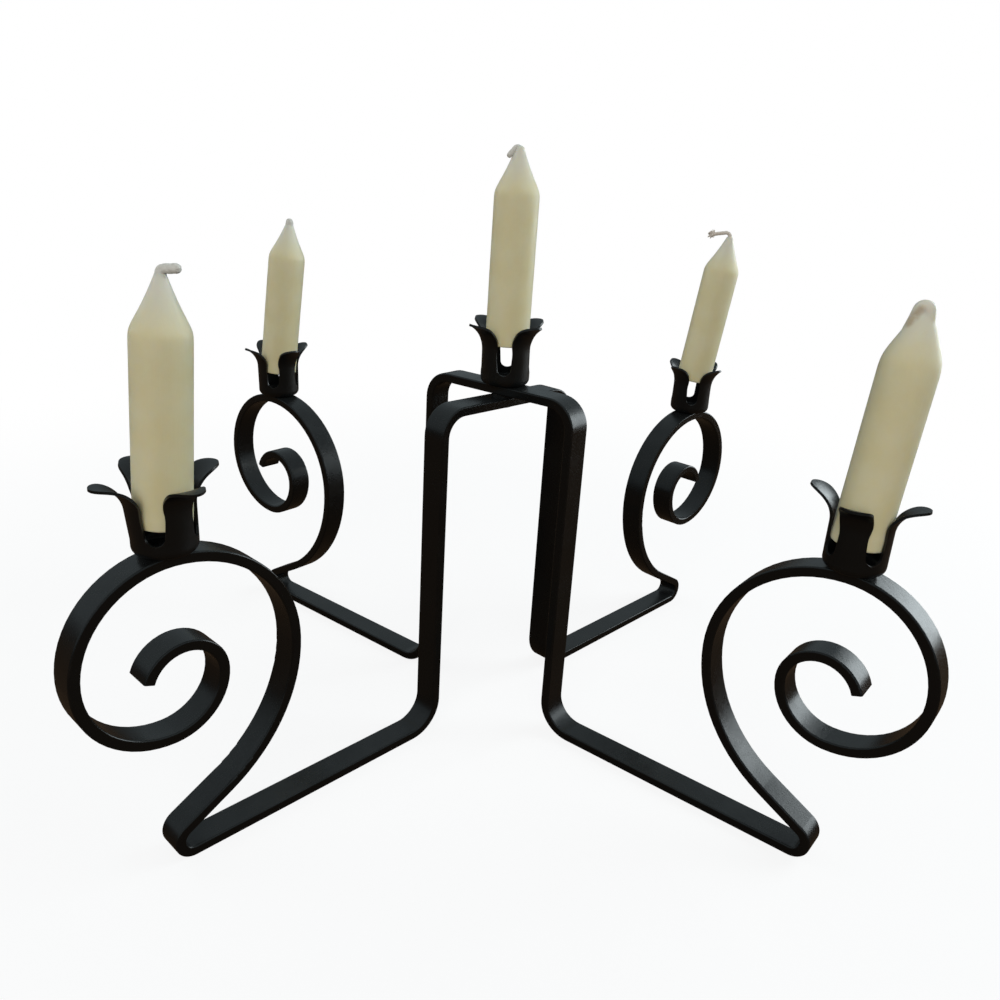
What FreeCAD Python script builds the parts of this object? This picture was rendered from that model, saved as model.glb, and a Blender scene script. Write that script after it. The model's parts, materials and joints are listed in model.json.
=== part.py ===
"""Five-light scroll candelabra of flat iron strip.

Two long strips are bent into scroll legs and cross at the top, where one rivet lets the upper bar turn on
the lower one. A four-petalled cup is riveted to the crossing and to each scroll crest, and holds a candle with
a wick.

Frame: +Z is up, the table is Z = 0, the pivot is the Z axis and the lower bar runs along X, its front left arm
towards -X. Lengths are in millimetres and angles in degrees.
"""
import FreeCAD, Part
import Sketcher
import math
import os
import re

# Driving sizes: alias, value, meaning.
DRIVING_SIZES = (
    ("strip_width", 10.0, "width of the flat iron strip"),
    ("strip_thickness", 3.5, "thickness of the strip"),
    ("strip_edge_radius", 0.6, "rounding of the strip's long edges"),
    ("lower_bar_height", 132.2, "table to the lower bar's top face"),
    ("upright_reach", 34.0, "pivot to the middle of an upright"),
    ("top_bend_radius", 7.5, "inside radius of the bend above an upright"),
    ("bottom_bend_radius", 9.8, "inside radius of the bend below an upright"),
    ("foot_reach", 142.3, "pivot to the outermost point of a foot, on the strip's middle"),
    ("foot_bend_radius", 3.2, "inside radius of the hairpin at a foot"),
    ("foot_turn", 151.0, "angle that the hairpin turns the strip back"),
    ("foot_rise", 17.5, "straight stretch above the hairpin"),
    ("scroll_rise_radius", 51.7, "radius of the rising part of a scroll"),
    ("scroll_crest_radius", 39.3, "radius up to the scroll's crest"),
    ("scroll_outer_radius", 30.7, "radius beyond the crest"),
    ("scroll_under_radius", 26.9, "radius under the curl"),
    ("scroll_inner_radius", 17.2, "radius inside the curl"),
    ("scroll_eye_radius", 12.2, "radius at the eye of the scroll"),
    ("scroll_end_turn", 161.0, "angle of the last turn at the eye"),
    ("crossing_angle", 95.0, "angle from the lower bar to the upper bar"),
    ("washer_thickness", 1.0, "thickness of the washer between the bars"),
    ("washer_radius", 4.6, "outer radius of the washer"),
    ("pivot_shank_radius", 2.5, "shank radius of the pivot rivet"),
    ("pivot_head_radius", 4.2, "head radius of the pivot rivet"),
    ("pivot_head_height", 1.3, "crown height of the pivot rivet's two heads"),
    ("pivot_clearance", 0.2, "radial clearance round the pivot shank"),
    ("rivet_shank_radius", 2.0, "shank radius of a cup rivet"),
    ("rivet_head_radius", 3.4, "head radius of a cup rivet"),
    ("rivet_head_height", 1.1, "crown height of a cup rivet's head"),
    ("rivet_tail_radius", 2.9, "radius of the flush tail under the strip"),
    ("rivet_tail_depth", 0.8, "depth of the flush tail's countersink"),
    ("rivet_clearance", 0.1, "radial clearance round a cup rivet"),
    ("cup_wall", 0.8, "sheet thickness of a cup"),
    ("cup_corner_radius", 2.6, "outside radius round a cup's floor"),
    ("cup_throat_height", 13.8, "height where the petals begin to flare"),
    ("petal_tip_height", 22.8, "height of a petal's tip, on its outer face"),
    ("petal_width", 9.6, "width of a petal"),
    ("slot_width", 6.0, "width of a slot between petals"),
    ("slot_floor", 4.7, "height of the round bottom of a slot"),
    ("candle_diameter", 16.2, "diameter of a candle"),
    ("candle_length", 68.0, "candle length without the free wick"),
    ("candle_cone_height", 14.0, "height of a candle's pointed top"),
    ("candle_cone_radius", 46.0, "radius of the hollow curve of the pointed top"),
    ("candle_nub_radius", 1.6, "wax radius round the wick at the tip"),
    ("candle_foot_bevel", 0.7, "bevel round a candle's foot"),
    ("candle_clearance", 0.35, "radial clearance of a candle in its cup"),
    ("candle_lean_heading", -45.0, "direction in plan that the candles lean to"),
    ("wick_diameter", 2.0, "diameter of a wick"),
    ("wick_clearance", 0.1, "radial clearance of a wick in the wax"),
    ("cut_overrun", 2.0, "distance that cuts run past the material"),
)

# Sizes of each light: cup turn about its own axis, reach of its petals from that axis, candle seat above the
# strip, candle lean, and the free wick: straight stub, bend radius, bend angle, tail length and bend direction.
LIGHT_SIZES = {
    "centre": dict(cup_turn=-8.0, petal_reach=16.8, seat=15.0, lean=0.4,
                   stub=0.3, bend_radius=1.3, bend_angle=150.0, tail=3.2, bend_heading=135.0),
    "front_left": dict(cup_turn=4.0, petal_reach=17.8, seat=8.6, lean=3.8,
                       stub=0.3, bend_radius=1.8, bend_angle=82.0, tail=4.0, bend_heading=-45.0),
    "front_right": dict(cup_turn=3.0, petal_reach=17.3, seat=9.6, lean=4.0,
                        stub=0.4, bend_radius=1.5, bend_angle=150.0, tail=3.6, bend_heading=135.0),
    "rear_left": dict(cup_turn=-9.0, petal_reach=15.6, seat=11.2, lean=6.0,
                      stub=1.2, bend_radius=8.0, bend_angle=8.0, tail=0.8, bend_heading=-45.0),
    "rear_right": dict(cup_turn=-9.0, petal_reach=15.0, seat=15.7, lean=6.8,
                       stub=0.3, bend_radius=1.6, bend_angle=102.0, tail=6.8, bend_heading=135.0),
}

# Formulas that several pieces share.
STRIP_MIDDLE = "strip_thickness / 2"
TOP_BEND = "(top_bend_radius + strip_thickness / 2)"
BOTTOM_BEND = "(bottom_bend_radius + strip_thickness / 2)"
FOOT_BEND = "(foot_bend_radius + strip_thickness / 2)"
CREST_REACH = (
    f"(foot_reach - {FOOT_BEND} * (1 - sin(foot_turn)) + foot_rise * cos(foot_turn)"
    " + scroll_rise_radius * (sin(foot_turn) - 1) + scroll_crest_radius)"
)
CREST_HEIGHT = (
    f"(strip_thickness + {FOOT_BEND} * (1 - cos(foot_turn)) + foot_rise * sin(foot_turn)"
    " - scroll_rise_radius * cos(foot_turn) + scroll_crest_radius)"
)
UPPER_BAR_HEIGHT = "(lower_bar_height + washer_thickness + strip_thickness)"
CUP_BORE = "(candle_diameter / 2 + candle_clearance)"
CUP_OUTER = f"({CUP_BORE} + cup_wall)"
WICK_BORE = "(wick_diameter / 2 + wick_clearance)"

# Each light's distance from the pivot, turn from the lower bar and height of its seat on the strip.
LIGHT_PLACES = {
    "centre": ("0", "crossing_angle / 2 - 45", UPPER_BAR_HEIGHT),
    "front_left": (CREST_REACH, "180", CREST_HEIGHT),
    "front_right": (CREST_REACH, "crossing_angle + 180", CREST_HEIGHT),
    "rear_left": (CREST_REACH, "crossing_angle", CREST_HEIGHT),
    "rear_right": (CREST_REACH, "0", CREST_HEIGHT),
}

LEFT = "left"
RIGHT = "right"
# How a sketch numbers the points of an edge, and its own two axes.
START, END, CENTRE = range(1, 4)
X_AXIS, Y_AXIS = range(-1, -3, -1)
ORIGIN = (X_AXIS, START)
ALIAS_PATTERN = re.compile(r"\b[a-z]+(?:_[a-z]+)+\b")

doc = FreeCAD.newDocument("Candelabra")
sizes = doc.addObject("Spreadsheet::Sheet", "Sizes")
nodes = []


def fill_sheet():
    """Write the driving sizes, and the sizes of each light, into the sheet."""
    rows = list(DRIVING_SIZES)
    for light, values in LIGHT_SIZES.items():
        rows += [(f"{light}_{name}", value, f"{name} of the {light} light") for name, value in values.items()]
    for row, (alias, value, meaning) in enumerate(rows, start=1):
        sizes.set(f"A{row}", meaning)
        sizes.set(f"B{row}", str(value))
        sizes.setAlias(f"B{row}", alias)
    doc.recompute()


def formula(text):
    """Return a formula of alias words as an expression on the sheet."""
    return ALIAS_PATTERN.sub(r"Sizes.\g<0>", text)


def value(text):
    """Return what a formula of alias words gives now."""
    return float(sizes.evalExpression(formula(text)))


def new_body(label):
    """Return a new body whose label names its node."""
    body = doc.addObject("PartDesign::Body", label)
    body.Label = label
    nodes.append(body)
    return body


def origin_feature(body, role):
    """Return the plane or axis of a body's origin that has this role."""
    return next(item for item in body.Origin.OriginFeatures if item.Role == role)


def new_sketch(body, name, role):
    """Return a new sketch on one of the body's origin planes."""
    sketch = body.newObject("Sketcher::SketchObject", name)
    sketch.AttachmentSupport = [(origin_feature(body, role), "")]
    sketch.MapMode = "FlatFace"
    return sketch


def bind(sketch, constraint, text):
    """Add a constraint to a sketch and tie its size to a formula."""
    index = sketch.addConstraint(constraint)
    sketch.setExpression(f"Constraints[{index}]", formula(text))


def pin_point(sketch, edge, end, place):
    """Hold an edge's end at a place, given as two formulas."""
    for text, kind, axis in ((place[0], "DistanceX", Y_AXIS), (place[1], "DistanceY", X_AXIS)):
        if text == "0":
            sketch.addConstraint(Sketcher.Constraint("PointOnObject", edge, end, axis))
        else:
            bind(sketch, Sketcher.Constraint(kind, *ORIGIN, edge, end, value(text)), text)


def arc_between(first, last, radius, side):
    """Return an arc of under a half circle between two points, turning to a side on the way."""
    chord = last - first
    rise = math.sqrt(max(radius ** 2 - chord.Length ** 2 / 4, 0))
    normal = FreeCAD.Vector(-chord.y, chord.x, 0).normalize()
    centre = (first + last) / 2 + normal * (rise if side == LEFT else -rise)
    begin, finish = (first, last) if side == LEFT else (last, first)
    angles = [math.atan2(point.y - centre.y, point.x - centre.x) for point in (begin, finish)]
    if angles[1] < angles[0]:
        angles[1] += 2 * math.pi
    return Part.ArcOfCircle(Part.Circle(centre, FreeCAD.Vector(0, 0, 1), radius), *angles)


def draw_outline(sketch, corners):
    """Draw a closed outline.

    Each corner is two formulas for its place. A corner with a radius formula and a side as well is followed by
    an arc that turns to that side, and any other corner by a straight edge.
    """
    points = [FreeCAD.Vector(value(corner[0]), value(corner[1]), 0) for corner in corners]
    edges = []
    for number, corner in enumerate(corners):
        first, last = points[number], points[(number + 1) % len(points)]
        if len(corner) == 2:
            edge = sketch.addGeometry(Part.LineSegment(first, last), False)
            edges.append((edge, START, END))
        else:
            radius, side = corner[2:]
            edge = sketch.addGeometry(arc_between(first, last, value(radius), side), False)
            edges.append((edge, START, END) if side == LEFT else (edge, END, START))
    for number, corner in enumerate(corners):
        edge, begin, _ = edges[number]
        before, _, finish = edges[number - 1]
        sketch.addConstraint(Sketcher.Constraint("Coincident", before, finish, edge, begin))
        pin_point(sketch, edge, begin, corner)
        if len(corner) > 2:
            bind(sketch, Sketcher.Constraint("Radius", edge, value(corner[2])), corner[2])


def draw_path(sketch, start, heading, steps):
    """Draw an open path of tangent runs and bends.

    The path leaves its start along or across the sketch's X axis. A step is a length formula for a straight
    run, or a radius formula, a turn formula and a side for a bend.
    """
    point = FreeCAD.Vector(value(start[0]), value(start[1]), 0)
    angle = math.radians(heading)
    before = None
    for step in steps:
        if len(step) == 1:
            last = point + FreeCAD.Vector(math.cos(angle), math.sin(angle), 0) * value(step[0])
            edge = sketch.addGeometry(Part.LineSegment(point, last), False)
            begin, finish = START, END
            bind(sketch, Sketcher.Constraint("Distance", edge, value(step[0])), step[0])
        else:
            radius, turn, side = value(step[0]), math.radians(value(step[1])), step[2]
            sign = 1 if side == LEFT else -1
            inward = FreeCAD.Vector(-math.sin(angle), math.cos(angle), 0) * sign
            centre = point + inward * radius
            from_angle = math.atan2(-inward.y, -inward.x)
            angles = (from_angle, from_angle + turn) if side == LEFT else (from_angle - turn, from_angle)
            circle = Part.Circle(centre, FreeCAD.Vector(0, 0, 1), radius)
            edge = sketch.addGeometry(Part.ArcOfCircle(circle, *angles), False)
            begin, finish = (START, END) if side == LEFT else (END, START)
            angle += sign * turn
            last = centre + FreeCAD.Vector(math.sin(angle), -math.cos(angle), 0) * radius * sign
            bind(sketch, Sketcher.Constraint("Radius", edge, radius), step[0])
            bind(sketch, Sketcher.Constraint("Angle", edge, turn), f"({step[1]}) * 1 deg")
        if before is None:
            pin_point(sketch, edge, begin, start)
            sketch.addConstraint(Sketcher.Constraint("Horizontal" if heading == 0 else "Vertical", edge))
        else:
            sketch.addConstraint(Sketcher.Constraint("Tangent", *before, edge, begin))
        before = (edge, finish)
        point = last


def revolve(body, name, corners):
    """Add a full revolution about Z of an outline given by radius and height."""
    sketch = new_sketch(body, name + "_profile", "XZ_Plane")
    draw_outline(sketch, corners)
    feature = body.newObject("PartDesign::Revolution", name)
    feature.Profile = sketch
    feature.ReferenceAxis = (sketch, ["V_Axis"])
    feature.Angle = 360
    sketch.Visibility = False
    return feature


def sweep(body, name, profile, path):
    """Add a pipe of a profile sketch along a path sketch."""
    feature = body.newObject("PartDesign::AdditivePipe", name)
    feature.Profile = profile
    feature.Spine = (path, [f"Edge{number + 1}" for number in range(path.GeometryCount)])
    feature.Mode = "Standard"
    profile.Visibility = path.Visibility = False
    return feature


def check_cut(before, feature):
    """Stop if a cut took nothing away."""
    doc.recompute()
    if feature.Shape.isNull() or feature.Shape.Volume >= before:
        raise RuntimeError(f"{feature.Label} cuts nothing")


def set_place(body, base, axis=FreeCAD.Vector(0, 0, 1), turn="0"):
    """Bind a body's place and turn to formulas."""
    body.Placement = FreeCAD.Placement(FreeCAD.Vector(), FreeCAD.Rotation(axis, value(turn)))
    for name, text in zip("xyz", base):
        body.setExpression(f"Placement.Base.{name}", formula(text))
    body.setExpression("Placement.Rotation.Angle", f"({formula(turn)}) * 1 deg")


def light_base(light, height="0"):
    """Return the place of a light's seat on the strip, raised by a height, as formulas."""
    reach, turn, seat = LIGHT_PLACES[light]
    return (f"{reach} * cos({turn})", f"{reach} * sin({turn})", f"{seat} + {height}")


def quarter_turned(place):
    """Return a place turned by a quarter of a circle about the origin."""
    return ("0" if place[1] == "0" else f"-({place[1]})", place[0])


def make_bar(label, top, turn):
    """Make one bar: a strip bent into two mirrored scroll legs, with the holes for its rivets."""
    body = new_body(label)
    middle = f"{top} - {STRIP_MIDDLE}"
    profile = new_sketch(body, label + "_section", "YZ_Plane")
    side, low, high = "strip_width / 2", f"{top} - strip_thickness", top
    flank, round_radius = f"({side} - strip_edge_radius)", "strip_edge_radius"
    draw_outline(profile, [
        (f"-{flank}", low),
        (flank, low, round_radius, LEFT),
        (side, f"{low} + {round_radius}"),
        (side, f"{high} - {round_radius}", round_radius, LEFT),
        (flank, high),
        (f"-{flank}", high, round_radius, LEFT),
        (f"-({side})", f"{high} - {round_radius}"),
        (f"-({side})", f"{low} + {round_radius}", round_radius, LEFT),
    ])
    path = new_sketch(body, label + "_path", "XZ_Plane")
    draw_path(path, ("0", middle), 0, [
        (f"upright_reach - {TOP_BEND}",),
        (TOP_BEND, "90", RIGHT),
        (f"{middle} - {STRIP_MIDDLE} - {TOP_BEND} - {BOTTOM_BEND}",),
        (BOTTOM_BEND, "90", LEFT),
        (f"foot_reach - {FOOT_BEND} - upright_reach - {BOTTOM_BEND}",),
        (FOOT_BEND, "foot_turn", LEFT),
        ("foot_rise",),
        ("scroll_rise_radius", "foot_turn - 90", RIGHT),
        ("scroll_crest_radius", "90", RIGHT),
        ("scroll_outer_radius", "90", RIGHT),
        ("scroll_under_radius", "90", RIGHT),
        ("scroll_inner_radius", "90", RIGHT),
        ("scroll_eye_radius", "scroll_end_turn", RIGHT),
    ])
    leg = sweep(body, label + "_leg", profile, path)
    doc.recompute()
    leg_volume = leg.Shape.Volume

    hole = new_sketch(body, label + "_crest_hole", "XZ_Plane")
    tail = f"{CREST_REACH} + rivet_tail_radius + rivet_clearance"
    shank = f"{CREST_REACH} + rivet_shank_radius + rivet_clearance"
    under = f"{CREST_HEIGHT} - strip_thickness"
    draw_outline(hole, [
        (CREST_REACH, f"{under} - cut_overrun"),
        (tail, f"{under} - cut_overrun"),
        (tail, under),
        (shank, f"{under} + rivet_tail_depth"),
        (shank, f"{CREST_HEIGHT} + cut_overrun"),
        (CREST_REACH, f"{CREST_HEIGHT} + cut_overrun"),
    ])
    axis = hole.addGeometry(Part.LineSegment(
        FreeCAD.Vector(value(CREST_REACH), 0, 0),
        FreeCAD.Vector(value(CREST_REACH), value(CREST_HEIGHT), 0)), True)
    pin_point(hole, axis, START, (CREST_REACH, "0"))
    pin_point(hole, axis, END, (CREST_REACH, CREST_HEIGHT))
    groove = body.newObject("PartDesign::Groove", label + "_crest_drilling")
    groove.Profile = hole
    groove.ReferenceAxis = (hole, ["Axis0"])
    groove.Angle = 360
    hole.Visibility = False
    check_cut(leg_volume, groove)

    mirrored = body.newObject("PartDesign::Mirrored", label + "_both_legs")
    mirrored.Originals = [leg, groove]
    mirrored.MirrorPlane = (origin_feature(body, "YZ_Plane"), [""])
    # The strip keeps one face for each run and bend: joined into one, its sides can come out invalid.
    mirrored.Refine = False
    body.Tip = mirrored
    doc.recompute()
    both_volume = mirrored.Shape.Volume

    pivot = new_sketch(body, label + "_pivot_hole", "XY_Plane")
    circle = pivot.addGeometry(Part.Circle(
        FreeCAD.Vector(), FreeCAD.Vector(0, 0, 1), value("pivot_shank_radius + pivot_clearance")), False)
    pivot.addConstraint(Sketcher.Constraint("Coincident", circle, CENTRE, *ORIGIN))
    bind(pivot, Sketcher.Constraint("Radius", circle, value("pivot_shank_radius + pivot_clearance")),
         "pivot_shank_radius + pivot_clearance")
    drilling = body.newObject("PartDesign::Pocket", label + "_pivot_drilling")
    drilling.Profile = pivot
    drilling.Type = "Length"
    drilling.Reversed = True
    drilling.Refine = False
    drilling.setExpression("Length", formula(f"{top} + cut_overrun"))
    pivot.Visibility = False
    check_cut(both_volume, drilling)
    body.Tip = drilling
    set_place(body, ("0", "0", "0"), turn=turn)


def make_washer():
    """Make the washer that keeps the bars apart at the pivot."""
    body = new_body("pivot_washer")
    bore = "pivot_shank_radius + pivot_clearance"
    revolve(body, "pivot_washer_ring", [
        (bore, "0"),
        ("washer_radius", "0"),
        ("washer_radius", "washer_thickness"),
        (bore, "washer_thickness"),
    ])
    set_place(body, ("0", "0", "lower_bar_height"))


def make_cup(light):
    """Make a cup: a pressed tulip with a flat floor, four slots and four rounded petals."""
    body = new_body(f"cup_{light}")
    name = body.Label
    reach = f"{light}_petal_reach"
    flat = f"{CUP_OUTER} - cup_corner_radius"
    spread, rise = f"({reach} - {CUP_OUTER})", "(petal_tip_height - cup_throat_height)"
    flare = f"(({spread} ^ 2 + {rise} ^ 2) / (2 * {spread}))"
    rim = f"(petal_tip_height + cup_wall * {rise} / {flare})"
    hole = ("pivot_shank_radius + pivot_clearance" if light == "centre"
            else "rivet_shank_radius + rivet_clearance")
    shell = revolve(body, name + "_shell", [
        (hole, "0"),
        (flat, "0", "cup_corner_radius", LEFT),
        (CUP_OUTER, "cup_corner_radius"),
        (CUP_OUTER, "cup_throat_height", flare, RIGHT),
        (reach, "petal_tip_height"),
        (f"{reach} - cup_wall * ({flare} - {spread}) / {flare}", rim, f"{flare} + cup_wall", LEFT),
        (CUP_BORE, "cup_throat_height"),
        (CUP_BORE, "cup_corner_radius", "cup_corner_radius - cup_wall", RIGHT),
        (flat, "cup_wall"),
        (hole, "cup_wall"),
    ])
    doc.recompute()
    shell_volume = shell.Shape.Volume

    outline = new_sketch(body, name + "_petal_outline", "XY_Plane")
    outline.setExpression("AttachmentOffset.Base.z", formula("cup_throat_height"))
    half, tip = "petal_width / 2", f"({reach} - petal_width / 2)"
    petal = [(half, f"-({half})"), (tip, f"-({half})", half, LEFT), (reach, "0", half, LEFT), (tip, half)]
    corners = []
    for _ in range(4):
        corners += petal
        petal = [(*quarter_turned(corner), *corner[2:]) for corner in petal]
    draw_outline(outline, corners)
    around = outline.addGeometry(Part.Circle(
        FreeCAD.Vector(), FreeCAD.Vector(0, 0, 1), value(f"{reach} + cut_overrun")), False)
    outline.addConstraint(Sketcher.Constraint("Coincident", around, CENTRE, *ORIGIN))
    bind(outline, Sketcher.Constraint("Radius", around, value(f"{reach} + cut_overrun")),
         f"{reach} + cut_overrun")
    trim = body.newObject("PartDesign::Pocket", name + "_petals")
    trim.Profile = outline
    trim.Type = "Length"
    trim.Reversed = True
    trim.setExpression("Length", formula(f"{rim} - cup_throat_height + cut_overrun"))
    outline.Visibility = False
    check_cut(shell_volume, trim)
    petal_volume = trim.Shape.Volume

    slot_sketch = new_sketch(body, name + "_slot_outline", "XZ_Plane")
    slot_sketch.AttachmentOffset = FreeCAD.Placement(
        FreeCAD.Vector(), FreeCAD.Rotation(FreeCAD.Vector(0, 1, 0), 45))
    slot_half, above = "slot_width / 2", f"{rim} + cut_overrun"
    draw_outline(slot_sketch, [
        (f"-({slot_half})", above),
        (f"-({slot_half})", f"slot_floor + {slot_half}", slot_half, LEFT),
        ("0", "slot_floor", slot_half, LEFT),
        (slot_half, f"slot_floor + {slot_half}"),
        (slot_half, above),
    ])
    slot = body.newObject("PartDesign::Pocket", name + "_slot_pair")
    slot.Profile = slot_sketch
    slot.Type = "Length"
    slot.SideType = "Symmetric"
    slot.setExpression("Length", formula(f"2 * ({reach} + cut_overrun)"))
    slot_sketch.Visibility = False
    check_cut(petal_volume, slot)
    pair_volume = slot.Shape.Volume

    slots = body.newObject("PartDesign::PolarPattern", name + "_slots")
    slots.Originals = [slot]
    slots.Axis = (origin_feature(body, "Z_Axis"), [""])
    slots.Angle = 90
    slots.Occurrences = 2
    body.Tip = slots
    check_cut(pair_volume, slots)
    set_place(body, light_base(light), turn=f"{LIGHT_PLACES[light][1]} + {light}_cup_turn")


def make_pivot_rivet():
    """Make the rivet that holds the centre cup and both bars, and on which the upper bar turns."""
    body = new_body("rivet_centre")
    depth = "(2 * strip_thickness + washer_thickness)"
    crown = "(pivot_head_radius ^ 2 + pivot_head_height ^ 2) / (2 * pivot_head_height)"
    revolve(body, "rivet_centre_turning", [
        ("0", f"-({depth} + pivot_head_height)", crown, LEFT),
        ("pivot_head_radius", f"-{depth}"),
        ("pivot_shank_radius", f"-{depth}"),
        ("pivot_shank_radius", "cup_wall"),
        ("pivot_head_radius", "cup_wall", crown, LEFT),
        ("0", "cup_wall + pivot_head_height"),
    ])
    set_place(body, light_base("centre"))


def make_cup_rivet(light):
    """Make the rivet of a scroll cup, headed in the cup and flush under the strip."""
    body = new_body(f"rivet_{light}")
    crown = "(rivet_head_radius ^ 2 + rivet_head_height ^ 2) / (2 * rivet_head_height)"
    revolve(body, body.Label + "_turning", [
        ("0", "-strip_thickness"),
        ("rivet_tail_radius", "-strip_thickness"),
        ("rivet_shank_radius", "-(strip_thickness - rivet_tail_depth)"),
        ("rivet_shank_radius", "cup_wall"),
        ("rivet_head_radius", "cup_wall", crown, LEFT),
        ("0", "cup_wall + rivet_head_height"),
    ])
    set_place(body, light_base(light))


def candle_base(light):
    """Return the place of a candle's foot as formulas.

    The lean turns the candle about the middle of the stretch that its cup holds.
    """
    held = f"(({light}_seat + cup_throat_height) / 2)"
    below = f"({held} - {light}_seat)"
    x, y, _ = light_base(light)
    _, _, seat = LIGHT_PLACES[light]
    sideways = f"{below} * sin({light}_lean)"
    return (
        f"{x} - {sideways} * cos(candle_lean_heading)",
        f"{y} - {sideways} * sin(candle_lean_heading)",
        f"{seat} + {held} - {below} * cos({light}_lean)",
    )


def lean_axis():
    """Return the level axis that candles lean about."""
    heading = math.radians(value("candle_lean_heading"))
    return FreeCAD.Vector(-math.sin(heading), math.cos(heading), 0)


def make_candle(light):
    """Make a candle: a round shaft with a pointed top, bored for its wick."""
    body = new_body(f"candle_{light}")
    radius = "(candle_diameter / 2)"
    shoulder = "candle_length - candle_cone_height"
    revolve(body, body.Label + "_wax", [
        (WICK_BORE, "0"),
        (f"{radius} - candle_foot_bevel", "0"),
        (radius, "candle_foot_bevel"),
        (radius, shoulder, "candle_cone_radius", RIGHT),
        ("candle_nub_radius", "candle_length"),
        (WICK_BORE, "candle_length"),
    ])
    set_place(body, candle_base(light), lean_axis(), f"{light}_lean")


def make_wick(light):
    """Make a wick: it runs the length of the wax and bends over at the tip."""
    body = new_body(f"wick_{light}")
    section = new_sketch(body, body.Label + "_section", "XY_Plane")
    circle = section.addGeometry(Part.Circle(
        FreeCAD.Vector(), FreeCAD.Vector(0, 0, 1), value("wick_diameter / 2")), False)
    section.addConstraint(Sketcher.Constraint("Coincident", circle, CENTRE, *ORIGIN))
    bind(section, Sketcher.Constraint("Radius", circle, value("wick_diameter / 2")), "wick_diameter / 2")
    path = new_sketch(body, body.Label + "_path", "XZ_Plane")
    draw_path(path, ("0", "0"), 90, [
        (f"candle_length + {light}_stub",),
        (f"{light}_bend_radius", f"{light}_bend_angle", RIGHT),
        (f"{light}_tail",),
    ])
    sweep(body, body.Label + "_cotton", section, path)
    set_place(body, candle_base(light), lean_axis(), f"{light}_lean")
    leaning = body.Placement.Rotation
    spin = FreeCAD.Rotation(FreeCAD.Vector(0, 0, 1), value(f"{light}_bend_heading"))
    body.setExpression("Placement.Rotation.Angle", None)
    body.Placement.Rotation = leaning.multiply(spin)


def check_and_export():
    """Check every object of the document, then write each node to its own file."""
    doc.recompute()
    for item in doc.Objects:
        if {"Invalid", "Error"} & set(item.State):
            raise RuntimeError(f"{item.Label} failed: {item.State}")
    for body in nodes:
        if body.Shape.isNull() or not body.Shape.isValid() or len(body.Shape.Solids) != 1:
            raise RuntimeError(f"{body.Label} is not one valid solid")
    os.makedirs("parts", exist_ok=True)
    for body in nodes:
        body.Shape.exportStep(f"parts/{body.Label}.step")
        print(f"{body.Label}: {body.Shape.Volume:.1f} mm3")


fill_sheet()
make_bar("lower_bar", "lower_bar_height", "0")
make_bar("upper_bar", UPPER_BAR_HEIGHT, "crossing_angle")
make_washer()
make_pivot_rivet()
for light_name in LIGHT_PLACES:
    make_cup(light_name)
    if light_name != "centre":
        make_cup_rivet(light_name)
    make_candle(light_name)
    make_wick(light_name)
check_and_export()
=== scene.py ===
"""Looks of the five-light scroll candelabra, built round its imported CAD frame.

The bent bars, the washer and the rivets are the CAD nodes under a black lacquer. The petalled cups,
the candles and the wicks are finer meshes that stand for their CAD nodes. Lengths are in metres, in
the CAD frame.
"""
import json
import logging
import math
import random
from dataclasses import dataclass, field
from enum import Enum
from typing import Any, Iterable, Sequence

import bpy
from mathutils import Matrix, Quaternion, Vector, noise

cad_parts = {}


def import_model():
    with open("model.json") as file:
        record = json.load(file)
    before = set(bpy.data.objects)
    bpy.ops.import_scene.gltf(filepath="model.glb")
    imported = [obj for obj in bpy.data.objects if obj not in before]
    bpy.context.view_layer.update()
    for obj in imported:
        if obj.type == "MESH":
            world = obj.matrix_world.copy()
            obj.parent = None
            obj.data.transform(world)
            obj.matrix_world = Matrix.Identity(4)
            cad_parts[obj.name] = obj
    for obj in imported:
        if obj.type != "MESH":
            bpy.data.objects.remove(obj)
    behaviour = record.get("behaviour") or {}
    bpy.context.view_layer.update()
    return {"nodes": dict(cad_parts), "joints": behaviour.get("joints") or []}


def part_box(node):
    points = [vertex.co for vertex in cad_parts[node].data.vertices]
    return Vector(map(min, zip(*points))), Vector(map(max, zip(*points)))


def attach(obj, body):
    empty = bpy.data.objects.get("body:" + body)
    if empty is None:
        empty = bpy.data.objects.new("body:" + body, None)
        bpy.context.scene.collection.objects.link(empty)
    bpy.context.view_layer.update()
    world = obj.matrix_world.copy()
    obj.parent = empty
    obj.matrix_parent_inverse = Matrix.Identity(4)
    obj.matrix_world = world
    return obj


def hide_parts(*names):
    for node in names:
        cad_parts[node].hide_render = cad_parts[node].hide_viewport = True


LOG = logging.getLogger("candelabra")
MM = 0.001
QUARTER = math.pi / 2
UP = Vector((0.0, 0.0, 1.0))
Point = tuple[float, float]
Triple = tuple[float, float, float]
Colour = Triple


class LightUse(Enum):
    """Whether a soft box lights matt surfaces or only shows in gloss."""

    FILL = "fill"
    GLINT = "glint"


class WickEnd(Enum):
    """How the free end of a wick looks."""

    CUT = "cut"
    FRAYED = "frayed"
    WAXED = "waxed"


class Slot(Enum):
    """Material slots of the record."""

    IRON = "iron"
    WAX = "wax"
    COTTON = "cotton"


@dataclass(frozen=True)
class WickBend:
    """End, thickness and course of a wick above its candle, in metres and degrees.

    A waxed wick has no course here, because it follows the dipped loop.
    """

    end: WickEnd
    radius: float
    stub: float = 0.0
    bend_radius: float = 0.0
    bend_deg: float = 0.0
    tail: float = 0.0
    heading_deg: float = 0.0


@dataclass(frozen=True)
class PetalBend:
    """How far one petal is bent from the cup's even form, in degrees outward."""

    lean_deg: float
    droop_deg: float


@dataclass(frozen=True)
class Light:
    """What differs from one light to the next."""

    name: str
    carrier: str
    cup_turn_deg: float
    petal_reach: float
    petals: tuple[PetalBend, PetalBend, PetalBend, PetalBend]
    wick: WickBend


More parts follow.
